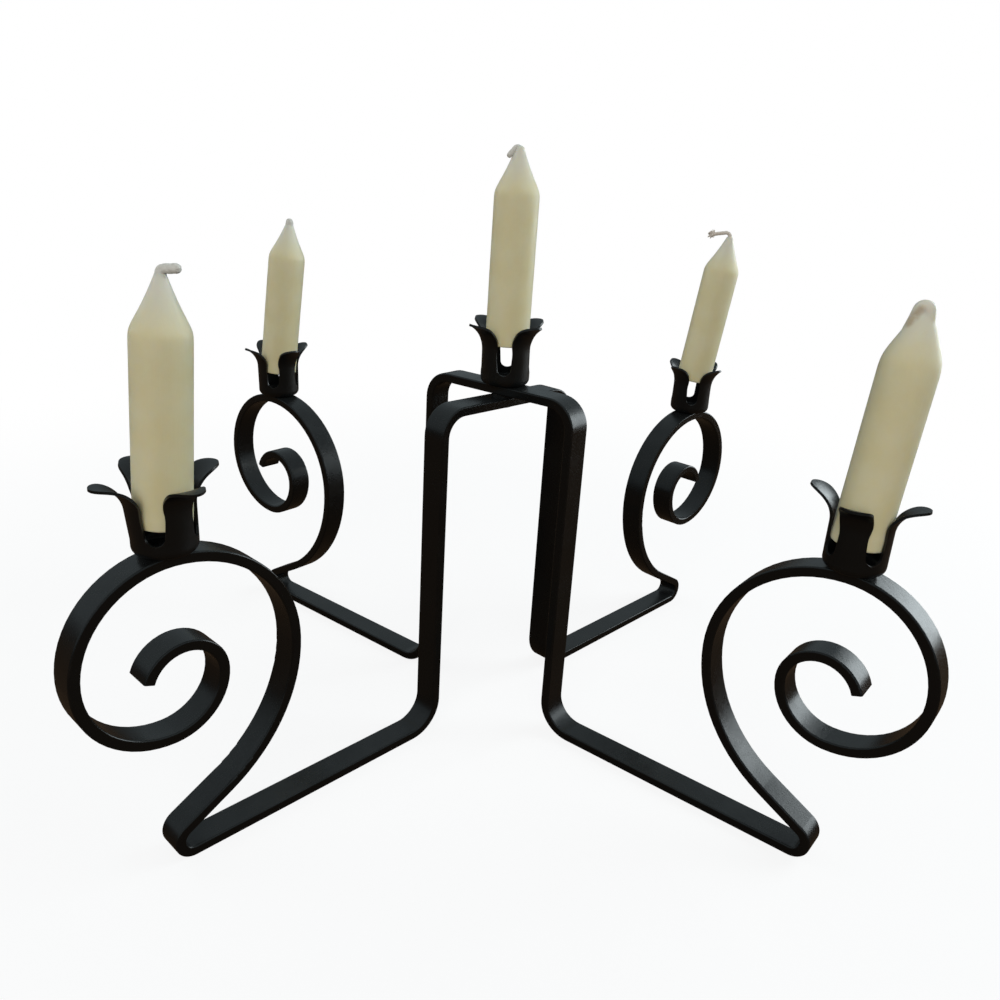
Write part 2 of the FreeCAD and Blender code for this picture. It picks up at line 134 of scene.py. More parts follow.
LIGHTS: tuple[Light, ...] = (
    Light("centre", "upper_frame", cup_turn_deg=-5.5, petal_reach=16.8 * MM,
          petals=(PetalBend(0.0, 0.0), PetalBend(1.0, 2.0), PetalBend(1.5, 3.0), PetalBend(0.0, -2.0)),
          wick=WickBend(WickEnd.CUT, 1.0 * MM, stub=-0.5 * MM, bend_radius=0.9 * MM, bend_deg=140.0,
                        tail=3.9 * MM, heading_deg=135.0)),
    Light("front_left", "lower_frame", cup_turn_deg=4.0, petal_reach=17.8 * MM,
          petals=(PetalBend(0.0, 2.0), PetalBend(0.0, 0.0), PetalBend(5.5, 6.0), PetalBend(1.0, 14.0)),
          wick=WickBend(WickEnd.CUT, 1.35 * MM, stub=0.5 * MM, bend_radius=1.2 * MM, bend_deg=82.0,
                        tail=4.2 * MM, heading_deg=-45.0)),
    Light("front_right", "upper_frame", cup_turn_deg=8.0, petal_reach=17.3 * MM,
          petals=(PetalBend(0.0, 0.0), PetalBend(0.0, -6.0), PetalBend(0.0, 2.0), PetalBend(0.0, 4.0)),
          wick=WickBend(WickEnd.WAXED, 1.1 * MM)),
    Light("rear_left", "upper_frame", cup_turn_deg=-4.0, petal_reach=15.6 * MM,
          petals=(PetalBend(0.0, -2.0), PetalBend(1.0, 2.0), PetalBend(1.5, 5.0), PetalBend(0.0, 0.0)),
          wick=WickBend(WickEnd.CUT, 1.6 * MM, stub=0.9 * MM, bend_radius=8.0 * MM, bend_deg=8.0,
                        tail=0.3 * MM, heading_deg=-45.0)),
    Light("rear_right", "lower_frame", cup_turn_deg=-9.0, petal_reach=15.0 * MM,
          petals=(PetalBend(0.0, 2.0), PetalBend(0.0, -2.0), PetalBend(0.0, 1.0), PetalBend(1.0, 3.0)),
          wick=WickBend(WickEnd.FRAYED, 0.85 * MM, stub=0.3 * MM, bend_radius=2.0 * MM, bend_deg=106.0,
                        tail=6.2 * MM, heading_deg=135.0)),
)


def around(angle: float, radius: float = 1.0, height: float = 0.0) -> Vector:
    """Return the point at an angle round Z, at a radius and a height."""
    return Vector((radius * math.cos(angle), radius * math.sin(angle), height))


def smooth_step(low: float, high: float, value: float) -> float:
    """Return a smooth ramp from 0 at low to 1 at high."""
    share = min(max((value - low) / (high - low), 0.0), 1.0)
    return share * share * (3.0 - 2.0 * share)


def course_tangents(course: Sequence[Vector]) -> list[Vector]:
    """Return the unit direction of a course at each of its points.

    Args:
        course: Points along a line.

    Returns:
        One unit vector for each point.
    """
    last = len(course) - 1
    return [(course[min(index + 1, last)] - course[max(index - 1, 0)]).normalized()
            for index in range(last + 1)]


def carried_frames(tangents: Sequence[Vector]) -> list[tuple[Vector, Vector]]:
    """Return two directions square to a course at each of its points, without twist.

    Args:
        tangents: Unit direction of the course at each point.

    Returns:
        The direction across and the one square to both, for each point.
    """
    across = tangents[0].orthogonal().normalized()
    frames = []
    for tangent in tangents:
        across = (across - tangent * across.dot(tangent)).normalized()
        frames.append((across, tangent.cross(across)))
    return frames


@dataclass
class MeshDraft:
    """Vertices and faces of a mesh while it is being made."""

    points: list[Vector] = field(default_factory=list)
    faces: list[tuple[int, ...]] = field(default_factory=list)

    def add_point(self, point: Vector) -> int:
        """Add a vertex and return its number."""
        self.points.append(point)
        return len(self.points) - 1

    def add_strip(self, lower: Sequence[int], upper: Sequence[int], closed: bool) -> None:
        """Fill the band between two rows of vertices with quads.

        Args:
            lower: Vertex numbers of the first row.
            upper: Vertex numbers of the next row, as many as the first.
            closed: Whether the rows run all the way round.
        """
        count = len(lower)
        for index in range(count if closed else count - 1):
            after = (index + 1) % count
            self.faces.append((lower[index], lower[after], upper[after], upper[index]))

    def add_fan(self, row: Sequence[int], centre: int, flipped: bool) -> None:
        """Close a round row of vertices with triangles to one vertex.

        Args:
            row: Vertex numbers round the opening.
            centre: Vertex number in its middle.
            flipped: Whether the triangles face the other way.
        """
        for index, first in enumerate(row):
            second = row[(index + 1) % len(row)]
            self.faces.append((second, first, centre) if flipped else (first, second, centre))

    def add_skin(self, rings: Sequence[Sequence[int]], foot: Vector, top: Vector) -> None:
        """Join rings of vertices into a closed body.

        Args:
            rings: Vertex numbers of each ring.
            foot: Middle of the face below the first ring.
            top: Middle of the face above the last ring.
        """
        for lower, upper in zip(rings, rings[1:]):
            self.add_strip(lower, upper, closed=True)
        self.add_fan(rings[0], self.add_point(foot), flipped=True)
        self.add_fan(rings[-1], self.add_point(top), flipped=False)

    def add_lathe(self, profile: Sequence[Point], segments: int) -> None:
        """Add a closed body turned about Z.

        Args:
            profile: Radius and height of each ring, from the middle of the foot to the middle of the top.
            segments: Number of vertices round a ring.
        """
        rings = [
            [self.add_point(around(math.tau * step / segments, radius, height)) for step in range(segments)]
            for radius, height in profile[1:-1]
        ]
        self.add_skin(rings, UP * profile[0][1], UP * profile[-1][1])

    def add_tube(self, course: Sequence[Vector], radii: Sequence[float], sides: int) -> None:
        """Add a closed round tube along a course.

        Args:
            course: Points along the tube's middle.
            radii: Radius at each point.
            sides: Number of vertices round the tube.
        """
        tangents = course_tangents(course)
        angles = [math.tau * step / sides for step in range(sides)]
        rings = [
            [self.add_point(point + (across * math.cos(angle) + over * math.sin(angle)) * radius)
             for angle in angles]
            for point, (across, over), radius in zip(course, carried_frames(tangents), radii)
        ]
        foot, top = course[0] - tangents[0] * radii[0] / 2, course[-1] + tangents[-1] * radii[-1] / 2
        self.add_skin(rings, foot, top)

    def to_object(self, name: str) -> bpy.types.Object:
        """Return a smooth mesh object of this draft, linked into the scene.

        Args:
            name: Name of the piece.

        Returns:
            The new object at the origin.
        """
        mesh = bpy.data.meshes.new(name)
        mesh.from_pydata([point.to_tuple() for point in self.points], [], self.faces)
        mesh.validate()
        mesh.shade_smooth()
        piece = bpy.data.objects.new(name, mesh)
        bpy.context.scene.collection.objects.link(piece)
        return piece


@dataclass
class NodeBench:
    """Adds and joins the nodes of one shader tree."""

    tree: bpy.types.NodeTree

    @classmethod
    def fresh(cls, owner: bpy.types.Material | bpy.types.World) -> "NodeBench":
        """Return a bench on the emptied tree of a material or world.

        Args:
            owner: The material or world.

        Returns:
            The bench.
        """
        owner.use_nodes = True
        owner.node_tree.nodes.clear()
        return cls(owner.node_tree)

    def add(self, kind: str, **settings: Any) -> bpy.types.Node:
        """Add a node and set its properties.

        Args:
            kind: Blender's name for the node type.
            settings: Properties of the node by name.

        Returns:
            The new node.
        """
        node = self.tree.nodes.new(kind)
        for key, value in settings.items():
            setattr(node, key, value)
        return node

    def join(self, source: bpy.types.NodeSocket, target: bpy.types.NodeSocket) -> None:
        """Link an output to an input."""
        self.tree.links.new(source, target)

    def put(self, target: bpy.types.NodeSocket, source: Any) -> None:
        """Link an output to an input, or set a plain value on it.

        Args:
            target: The input.
            source: Output socket or value.
        """
        if isinstance(source, bpy.types.NodeSocket):
            self.join(source, target)
        else:
            target.default_value = source

    def fill(self, node: bpy.types.Node, values: dict[str, Any]) -> None:
        """Link or set several inputs of a node by name."""
        for name, value in values.items():
            self.put(node.inputs[name], value)

    def place(self) -> bpy.types.NodeSocket:
        """Return the place on the surface, in the piece's own frame."""
        return self.add("ShaderNodeTexCoord").outputs["Object"]

    def upward(self, vector: bpy.types.NodeSocket) -> bpy.types.NodeSocket:
        """Return the Z part of a vector.

        Args:
            vector: Output socket of the vector.

        Returns:
            The output socket of its Z part.
        """
        parts = self.add("ShaderNodeSeparateXYZ")
        self.join(vector, parts.inputs[0])
        return parts.outputs["Z"]

    def math(self, operation: str, first: Any, second: Any = 0.0,
             clamp: bool = False) -> bpy.types.NodeSocket:
        """Return the result of a sum on two values or sockets.

        Args:
            operation: Name of the operation.
            first: Value or output socket.
            second: Value or output socket.
            clamp: Whether the result is held between 0 and 1.

        Returns:
            The output socket of the sum.
        """
        node = self.add("ShaderNodeMath", operation=operation, use_clamp=clamp)
        self.put(node.inputs[0], first)
        self.put(node.inputs[1], second)
        return node.outputs[0]

    def blend(self, share: Any, first: Any, second: Any) -> bpy.types.NodeSocket:
        """Return a sum of two values by share.

        Args:
            share: Share of the second value.
            first: Value or output socket.
            second: Value or output socket.

        Returns:
            The output socket of the sum.
        """
        rest = self.math("SUBTRACT", 1.0, share)
        return self.math("ADD", self.math("MULTIPLY", first, rest), self.math("MULTIPLY", second, share))

    def ramp(self, source: Any, low: float, high: float, to_low: float = 0.0,
             to_high: float = 1.0) -> bpy.types.NodeSocket:
        """Return a value mapped smoothly from one range to another.

        Args:
            source: Output socket to map.
            low: Start of the range that is read.
            high: End of the range that is read.
            to_low: Result at the start.
            to_high: Result at the end.

        Returns:
            The output socket of the mapping.
        """
        node = self.add("ShaderNodeMapRange", interpolation_type="SMOOTHSTEP")
        self.fill(node, {"Value": source, "From Min": low, "From Max": high, "To Min": to_low,
                         "To Max": to_high})
        return node.outputs["Result"]

    def mix(self, share: Any, first: Any, second: Any) -> bpy.types.NodeSocket:
        """Return a mix of two colours.

        Args:
            share: Share of the second colour, a value or output socket.
            first: Colour or output socket.
            second: Colour or output socket.

        Returns:
            The output socket of the mixed colour.
        """
        node = self.add("ShaderNodeMix", data_type="RGBA")
        self.put(node.inputs[0], share)
        for target, source in ((node.inputs[6], first), (node.inputs[7], second)):
            self.put(target, (*source, 1.0) if isinstance(source, tuple) else source)
        return node.outputs[2]

    def noise(self, place: bpy.types.NodeSocket, scale: Any, detail: float,
              roughness: float = 0.5) -> bpy.types.NodeSocket:
        """Return a cloudy value that changes over the surface.

        Args:
            place: Output socket of the place on the surface.
            scale: Cells per metre, a value or output socket.
            detail: Number of finer layers.
            roughness: Strength of the finer layers.

        Returns:
            The output socket of the value, about 0.5 in the middle.
        """
        node = self.add("ShaderNodeTexNoise")
        self.fill(node, {"Vector": place, "Scale": scale, "Detail": detail, "Roughness": roughness})
        return node.outputs["Fac"]

    def bump(self, shader: bpy.types.Node, height: bpy.types.NodeSocket, strength: float,
             depth: float) -> None:
        """Drive a shader's normal by a height.

        Args:
            shader: Shader that takes the normal.
            height: Output socket of the height.
            strength: Strength of the bump, up to 1.
            depth: Depth of a full step in metres.
        """
        node = self.add("ShaderNodeBump")
        self.fill(node, {"Strength": strength, "Distance": depth, "Height": height})
        self.join(node.outputs["Normal"], shader.inputs["Normal"])

    def group(self, tree: bpy.types.NodeTree, **values: float) -> bpy.types.Node:
        """Place an effect group.

        Args:
            tree: The group.
            values: Values of the group's inputs, with underscores for spaces.

        Returns:
            The group node.
        """
        node = self.add("ShaderNodeGroup", node_tree=tree)
        self.fill(node, {key.replace("_", " "): value for key, value in values.items()})
        return node


@dataclass
class EffectGroups:
    """Shader groups for effects that several finishes share, each built once."""

    film: bpy.types.NodeTree = field(init=False)
    rub: bpy.types.NodeTree = field(init=False)
    dust_and_sheen: bpy.types.NodeTree = field(init=False)
    mottle: bpy.types.NodeTree = field(init=False)

    def __post_init__(self) -> None:
        """Build the four groups."""
        self.film = self._make_film()
        self.rub = self._make_rub()
        self.dust_and_sheen = self._make_dust_and_sheen()
        self.mottle = self._make_mottle()

    @staticmethod
    def _start(name: str, inputs: Iterable[tuple[str, float]],
               outputs: Iterable[str]) -> tuple[NodeBench, bpy.types.Node, bpy.types.Node]:
        """Start a group with value sockets.

        Args:
            name: Name of the group.
            inputs: Name and usual value of each input.
            outputs: Name of each output.

        Returns:
            The bench of the group, its input node and its output node.
        """
        tree = bpy.data.node_groups.new(name, "ShaderNodeTree")
        for label, usual in inputs:
            socket = tree.interface.new_socket(name=label, in_out="INPUT", socket_type="NodeSocketFloat")
            socket.default_value = usual
        for label in outputs:
            tree.interface.new_socket(name=label, in_out="OUTPUT", socket_type="NodeSocketFloat")
        bench = NodeBench(tree)
        return bench, bench.add("NodeGroupInput"), bench.add("NodeGroupOutput")

    def _make_film(self) -> bpy.types.NodeTree:
        """Return the group for a brushed paint film: fine peel, slow waves and uneven gloss.

        Returns:
            The group, with the film's height and gloss.
        """
        bench, given, made = self._start(
            "paint_film", (("Peel Scale", 1500.0), ("Wave Scale", 110.0), ("Peel Share", 0.35)),
            ("Height", "Gloss"))
        place = bench.place()
        peel = bench.noise(place, given.outputs["Peel Scale"], detail=2.0)
        wave = bench.noise(place, given.outputs["Wave Scale"], detail=3.0)
        gloss_scale = bench.math("MULTIPLY", given.outputs["Wave Scale"], 0.6)
        bench.fill(made, {"Height": bench.blend(given.outputs["Peel Share"], wave, peel),
                          "Gloss": bench.noise(place, gloss_scale, detail=6.0, roughness=0.62)})
        return bench.tree

    def _make_rub(self) -> bpy.types.NodeTree:
        """Return the group for paint worn thin along edges.

        Returns:
            The group, with the mask of the worn places.
        """
        bench, given, made = self._start("edge_rub", (("Reach", 0.0007), ("Break Scale", 260.0)), ("Mask",))
        rounded = bench.add("ShaderNodeBevel", samples=4)
        bench.join(given.outputs["Reach"], rounded.inputs["Radius"])
        turned = bench.add("ShaderNodeVectorMath", operation="DOT_PRODUCT")
        bench.join(rounded.outputs["Normal"], turned.inputs[0])
        bench.join(bench.add("ShaderNodeNewGeometry").outputs["Normal"], turned.inputs[1])
        edge = bench.ramp(turned.outputs["Value"], low=0.985, high=0.86)
        breaks = bench.noise(bench.place(), given.outputs["Break Scale"], detail=4.0, roughness=0.6)
        broken = bench.ramp(breaks, low=0.42, high=0.66)
        bench.join(bench.math("MULTIPLY", edge, broken), made.inputs["Mask"])
        return bench.tree

    def _make_dust_and_sheen(self) -> bpy.types.NodeTree:
        """Return the group for fine dust that settles on what faces up, with a painted sky sheen there.

        Returns:
            The group, with the mask of the dust and the painted sheen.
        """
        bench, given, made = self._start("settled_dust", (("Amount", 0.5), ("Patch Scale", 90.0)), ("Mask",))
        normal = bench.add("ShaderNodeNewGeometry").outputs["Normal"]
        # Upward faces get the most: settled dust, and a painted sheen in place of the sky's reflection.
        facing = bench.ramp(bench.upward(normal), low=0.15, high=0.95)
        patches = bench.noise(bench.place(), given.outputs["Patch Scale"], detail=5.0, roughness=0.6)
        patch = bench.ramp(patches, low=0.3, high=0.75, to_low=0.35)
        mask = bench.math("MULTIPLY", facing, patch)
        bench.join(bench.math("MULTIPLY", mask, given.outputs["Amount"], clamp=True), made.inputs["Mask"])
        return bench.tree

    def _make_mottle(self) -> bpy.types.NodeTree:
        """Return the group for soft cloudy differences in a pale material.

        Returns:
            The group, with the clouds' mask and height.
        """
        bench, given, made = self._start(
            "soft_mottle", (("Cloud Scale", 90.0), ("Grain Scale", 1800.0), ("Grain Share", 0.3)),
            ("Mask", "Height"))
        place = bench.place()
        clouds = bench.noise(place, given.outputs["Cloud Scale"], detail=4.0, roughness=0.55)
        cloud = bench.ramp(clouds, low=0.3, high=0.7)
        grain = bench.noise(place, given.outputs["Grain Scale"], detail=3.0)
        bench.fill(made, {"Mask": bench.blend(given.outputs["Grain Share"], cloud, grain),
                          "Height": bench.math("ADD", grain, bench.math("MULTIPLY", cloud, 0.5))})
        return bench.tree


def start_material(name: str) -> tuple[bpy.types.Material, NodeBench, bpy.types.Node]:
    """Start a material with one principled shader.

    Args:
        name: Name of the material.

    Returns:
        The material, the bench of its nodes and its shader node.
    """
    material = bpy.data.materials.new(name)
    bench = NodeBench.fresh(material)
    shader = bench.add("ShaderNodeBsdfPrincipled")
    bench.join(shader.outputs["BSDF"], bench.add("ShaderNodeOutputMaterial").inputs["Surface"])
    return material, bench, shader


@dataclass(frozen=True)
class LacquerFinish:
    """Satin black lacquer on iron, with dust and a painted bluish sky sheen on what faces up."""

    name: str
    black: Colour = (0.0033, 0.0034, 0.0033)
    rubbed: Colour = (0.028, 0.022, 0.017)
    # Bluish grey of settled dust and of a painted sky sheen on what faces up.
    dust_and_sheen_grey: Colour = (0.060, 0.066, 0.068)
    roughness: float = 0.25
    gloss_spread: float = 0.14
    dust_and_sheen: float = 0.13
    dust_dulling: float = 0.35
    rub_reach: float = 0.7 * MM
    rub_share: float = 0.55
    peel_scale: float = 1500.0
    wave_scale: float = 110.0
    bump_strength: float = 0.5
    bump_depth: float = 0.12 * MM
    specular: float = 0.5

    def build(self, groups: EffectGroups) -> bpy.types.Material:
        """Return the lacquer as a material.

        Args:
            groups: The shared effects.

        Returns:
            The new material.
        """
        material, bench, shader = start_material(self.name)
        film = bench.group(groups.film, Peel_Scale=self.peel_scale, Wave_Scale=self.wave_scale)
        rub = bench.group(groups.rub, Reach=self.rub_reach).outputs["Mask"]
        dust_and_sheen = bench.group(groups.dust_and_sheen, Amount=self.dust_and_sheen).outputs["Mask"]
        colour = bench.mix(bench.math("MULTIPLY", rub, self.rub_share), self.black, self.rubbed)
        rough = bench.ramp(film.outputs["Gloss"], low=0.25, high=0.75,
                           to_low=self.roughness - self.gloss_spread / 2,
                           to_high=self.roughness + self.gloss_spread / 2)
        dulled = bench.math("ADD", rough, bench.math("MULTIPLY", dust_and_sheen, self.dust_dulling), clamp=True)
        # Upward faces are mixed towards bluish grey: partly settled dust, partly a painted sky sheen.
        bench.fill(shader, {"Base Color": bench.mix(dust_and_sheen, colour, self.dust_and_sheen_grey), "Roughness": dulled,
                            "Specular IOR Level": self.specular})
        bench.bump(shader, film.outputs["Height"], self.bump_strength, self.bump_depth)
        return material


@dataclass(frozen=True)
class WaxFinish:
    """Ivory candle wax, paler and greyer to the pointed top, with stain and painted shade at listed spots.
    """

    name: str
    ivory: Colour = (0.60, 0.535, 0.315)
    pale: Colour = (0.64, 0.600, 0.420)
    tip: Colour = (0.60, 0.590, 0.515)
    # Brown at the listed spots by the folded loop: stain, and painted shade of its hollow.
    stain_and_shade: Colour = (0.33, 0.235, 0.14)
    stain_and_shade_spots: tuple[Triple, ...] = ()
    stain_and_shade_reach: float = 2.1 * MM
    stain_and_shade_core: float = 0.3
    stain_and_shade_share: float = 0.6
    patch_scale: float = 520.0
    shoulder: float = 52.0 * MM
    top: float = 68.5 * MM
    pale_share: float = 0.6
    tip_share: float = 0.95
    roughness: float = 0.42
    gloss_spread: Point = (0.06, 0.10)
    specular: float = 0.4
    sheen: float = 0.22
    sheen_roughness: float = 0.45
    sheen_tint: Colour = (0.92, 1.0, 0.98)
    glow: float = 0.45
    glow_radius: Triple = (1.0, 0.72, 0.38)
    glow_depth: float = 3.5 * MM
    streak_scale: float = 900.0
    streak_squash: Triple = (1.0, 1.0, 0.06)
    mottle_share: float = 0.4
    bump_strength: float = 0.35
    bump_depth: float = 0.10 * MM

    def build(self, groups: EffectGroups) -> bpy.types.Material:
        """Return the wax as a material.

        Args:
            groups: The shared effects.

        Returns:
            The new material.
        """
        material, bench, shader = start_material(self.name)
        mottle = bench.group(groups.mottle, Cloud_Scale=95.0, Grain_Scale=1600.0, Grain_Share=0.15)
        mask = mottle.outputs["Mask"]
        place = bench.place()
        colour = bench.mix(bench.math("MULTIPLY", mask, self.pale_share), self.ivory, self.pale)
        towards_tip = bench.ramp(bench.upward(place), self.shoulder, self.top, to_high=self.tip_share)
        colour = self._stained_and_shaded(bench, place, bench.mix(towards_tip, colour, self.tip))
        rough = bench.ramp(mask, low=0.2, high=0.8, to_low=self.roughness - self.gloss_spread[0],
                           to_high=self.roughness + self.gloss_spread[1])
        bench.fill(shader, {
            "Base Color": colour, "Roughness": rough, "Specular IOR Level": self.specular,
            "Sheen Weight": self.sheen, "Sheen Roughness": self.sheen_roughness,
            "Sheen Tint": (*self.sheen_tint, 1.0), "Subsurface Weight": self.glow,
            "Subsurface Radius": self.glow_radius, "Subsurface Scale": self.glow_depth,
        })
        drawn = bench.add("ShaderNodeMapping")
        bench.fill(drawn, {"Scale": self.streak_squash, "Vector": place})
        streak = bench.noise(drawn.outputs["Vector"], self.streak_scale, detail=2.0)
        cloudy = bench.math("MULTIPLY", mottle.outputs["Height"], self.mottle_share)
        bench.bump(shader, bench.math("ADD", cloudy, streak), self.bump_strength, self.bump_depth)
        return material

    def _stained_and_shaded(self, bench: NodeBench, place: bpy.types.NodeSocket,
                 colour: bpy.types.NodeSocket) -> bpy.types.NodeSocket:
        """Return a colour with the brown stain and painted shade in it.

        Args:
            bench: Bench of the material's nodes.
            place: Output socket of the place on the surface.
            colour: Output socket of the clean colour.

        Returns:
            The output socket of the stained colour.
        """
        if not self.stain_and_shade_spots:
            return colour
        patches = bench.noise(place, self.patch_scale, detail=3.0)
        patch = bench.ramp(patches, low=0.3, high=0.55, to_low=0.45)
        # Each spot browns the wax round it: stain, and painted shade in the hollow of the folded loop.
        for stain_and_shade in self.stain_and_shade_spots:
            away = bench.add("ShaderNodeVectorMath", operation="DISTANCE")
            bench.join(place, away.inputs[0])
            away.inputs[1].default_value = stain_and_shade
            near = bench.ramp(away.outputs["Value"], self.stain_and_shade_reach, self.stain_and_shade_reach * self.stain_and_shade_core,
                              to_high=self.stain_and_shade_share)
            colour = bench.mix(bench.math("MULTIPLY", patch, near), colour, self.stain_and_shade)
        return colour


@dataclass(frozen=True)
class CottonFinish:
    """Waxed cotton of a wick."""

    name: str
    clean: Colour = (0.63, 0.62, 0.565)
    soiled: Colour = (0.50, 0.48, 0.43)
    roughness: float = 0.7
    gloss_spread: float = 0.1
    sheen: float = 0.25
    bump_strength: float = 0.5
    bump_depth: float = 0.12 * MM

    def build(self, groups: EffectGroups) -> bpy.types.Material:
        """Return the cotton as a material.

        Args:
            groups: The shared effects.

        Returns:
            The new material.
        """
        material, bench, shader = start_material(self.name)
        mottle = bench.group(groups.mottle, Cloud_Scale=700.0, Grain_Scale=6500.0, Grain_Share=0.45)
        mask = mottle.outputs["Mask"]
        rough = bench.ramp(mask, low=0.2, high=0.8, to_low=self.roughness + self.gloss_spread,
                           to_high=self.roughness - self.gloss_spread)
        bench.fill(shader, {"Base Color": bench.mix(mask, self.soiled, self.clean), "Roughness": rough,
                            "Sheen Weight": self.sheen})
        bench.bump(shader, mottle.outputs["Height"], self.bump_strength, self.bump_depth)
        return material


@dataclass
class ScrollFrame:
    """The bent bars, the washer and the rivets, which keep their CAD shapes."""

    nodes: dict[str, bpy.types.Object]
    strip: bpy.types.Material
    fastener: bpy.types.Material
    bars: tuple[str, ...] = ("lower_bar", "upper_bar")

    def dress(self) -> None:
        """Give each CAD node of the frame its lacquer."""
        for bar in self.bars:
            self._paint(bar, self.strip)
        for name in self.nodes:
            if name.startswith(("rivet_", "pivot_")):
                self._paint(name, self.fastener)

    def _paint(self, name: str, material: bpy.types.Material) -> None:
        """Put one material on a CAD node and report it.

        Args:
            name: Name of the CAD node.
            material: Its lacquer.
        """
        piece = self.nodes[name]
        piece.data.materials.clear()
        piece.data.materials.append(material)
        LOG.info("%s: %s", name, material.name)


@dataclass
class PetalCup:
    """A cup pressed from sheet: flat floor, round corner, four slots and four flared petals."""

    light: Light
    wall: float = 0.8 * MM
    outer: float = 9.25 * MM
    corner: float = 2.6 * MM
    throat: float = 13.8 * MM
    tip_height: float = 22.8 * MM
    petal_half: float = 4.8 * MM
    blend_below: float = 2.2 * MM
    blend_above: float = 4.2 * MM
    slot_floor: float = 4.7 * MM
    slot_half_low: float = 2.65 * MM
    slot_half_high: float = 3.1 * MM
    hole: float = 2.1 * MM
    pivot_hole: float = 2.7 * MM
    columns: int = 16
    floor_rows: int = 4
    corner_rows: int = 7
    ring_rows: int = 3
    slot_rows: int = 6
    petal_rows: int = 14
    rim_round: float = 0.26 * MM
    rim_segments: int = 3
    rim_angle_deg: float = 50.0

    def build(self, material: bpy.types.Material) -> bpy.types.Object:
        """Make the cup in place of its CAD node.

        Args:
            material: Lacquer of the sheet.

        Returns:
            The finished piece.
        """
        node = f"cup_{self.light.name}"
        low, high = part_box(node)
        seat = Vector(((low.x + high.x) / 2, (low.y + high.y) / 2, low.z))
        draft = MeshDraft()
        base = self._add_bowl(draft)
        for quarter, bend in enumerate(self.light.petals):
            self._add_petal(draft, base, quarter, bend)
        piece = draft.to_object(f"{node}_sheet")
        turn = Matrix.Rotation(math.radians(self.light.cup_turn_deg), 4, "Z")
        piece.matrix_world = Matrix.Translation(seat) @ turn
        piece.data.materials.append(material)
        self._thicken(piece)
        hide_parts(node)
        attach(piece, self.light.carrier)
        return piece

    def _column_shares(self) -> list[float]:
        """Return the place of each column across a petal, from -1 to 1 and closer at the edges."""
        return [math.sin(math.pi * (step / self.columns - 0.5)) for step in range(self.columns + 1)]

    def _add_bowl(self, draft: MeshDraft) -> list[int]:
        """Add the floor, the round corner and the ring below the slots.

        Args:
            draft: Mesh that takes them.

        Returns:
            Vertex numbers of the top row, where the petals begin.
        """
        edge = math.sin(math.pi / 4)
        angles = [quarter * QUARTER + math.asin(share * edge)
                  for quarter in range(4) for share in self._column_shares()[:-1]]
        hole = self.pivot_hole if self.light.name == "centre" else self.hole
        flat = self.outer - self.corner
        profile = [(hole + (flat - hole) * step / self.floor_rows, 0.0)
                   for step in range(self.floor_rows + 1)]
        for step in range(1, self.corner_rows + 1):
            angle = QUARTER * step / self.corner_rows
            profile.append((flat + self.corner * math.sin(angle), self.corner * (1 - math.cos(angle))))
        profile += [(self.outer, self.corner + (self.slot_floor - self.corner) * step / self.ring_rows)
                    for step in range(1, self.ring_rows + 1)]
        rows = [[draft.add_point(around(angle, radius, height)) for angle in angles]
                for radius, height in profile]
        for lower, upper in zip(rows, rows[1:]):
            draft.add_strip(lower, upper, closed=True)
        return rows[-1]

    def _half_width(self, along: float) -> float:
        """Return half the width of a petal at a distance above the slot's floor.

        Args:
            along: Distance along the sheet from the level of the slot's floor.

        Returns:
            The half width across the petal.
        """
        straight = self.throat - self.slot_floor
        round_low = self.slot_half_low
        if along < round_low:
            slot = math.sqrt(max(round_low ** 2 - (round_low - along) ** 2, 0.0))
        else:
            share = min((along - round_low) / (straight - round_low), 1.0)
            slot = round_low + (self.slot_half_high - round_low) * share
        wall_half = self.outer * math.sin(math.pi / 4 - math.asin(slot / self.outer))
        share = smooth_step(straight - self.blend_below, straight + self.blend_above, along)
        return wall_half + (self.petal_half - wall_half) * share

    def _add_petal(self, draft: MeshDraft, base: Sequence[int], quarter: int, bend: PetalBend) -> None:
        """Add one petal, from the level of the slot's floor to its round tip.

        Args:
            draft: Mesh that takes it.
            base: Vertex numbers of the bowl's top row.
            quarter: Which of the four petals.
            bend: How it is bent from the even form.
        """
        straight = self.throat - self.slot_floor
        spread, rise = self.light.petal_reach - self.outer, self.tip_height - self.throat
        turn = 2 * math.atan2(spread, rise)
        length = (spread ** 2 + rise ** 2) / (2 * spread) * turn
        flare = length / (turn + math.radians(bend.droop_deg))
        lean = math.tan(math.radians(bend.lean_deg))
        shares = self._column_shares()
        steps = range(1, self.slot_rows + 1)
        levels = [self.slot_half_low * (1 - math.cos(QUARTER * step / self.slot_rows)) for step in steps]
        levels += [self.slot_half_low + (straight - self.slot_half_low) * step / self.slot_rows
                   for step in steps]
        grid = [[along] * len(shares) for along in levels]
        tops = [straight + length - self.petal_half * (1 - math.sqrt(max(1 - share ** 2, 0.0)))
                for share in shares]
        grid += [[straight + (top - straight) * step / self.petal_rows for top in tops]
                 for step in range(1, self.petal_rows + 1)]
        first = quarter * self.columns
        lower = [base[(first + step) % len(base)] for step in range(self.columns + 1)]
        for row in grid:
            upper = []
            for share, along in zip(shares, row):
                over = max(along - straight, 0.0)
                radius = self.outer + flare * (1 - math.cos(over / flare))
                height = min(self.slot_floor + along, self.throat) + flare * math.sin(over / flare)
                radius += lean * (height - self.slot_floor)
                aside = min(max(share * self._half_width(along) / radius, -1.0), 1.0)
                upper.append(draft.add_point(around(quarter * QUARTER + math.asin(aside), radius, height)))
            draft.add_strip(lower, upper, closed=False)
            lower = upper

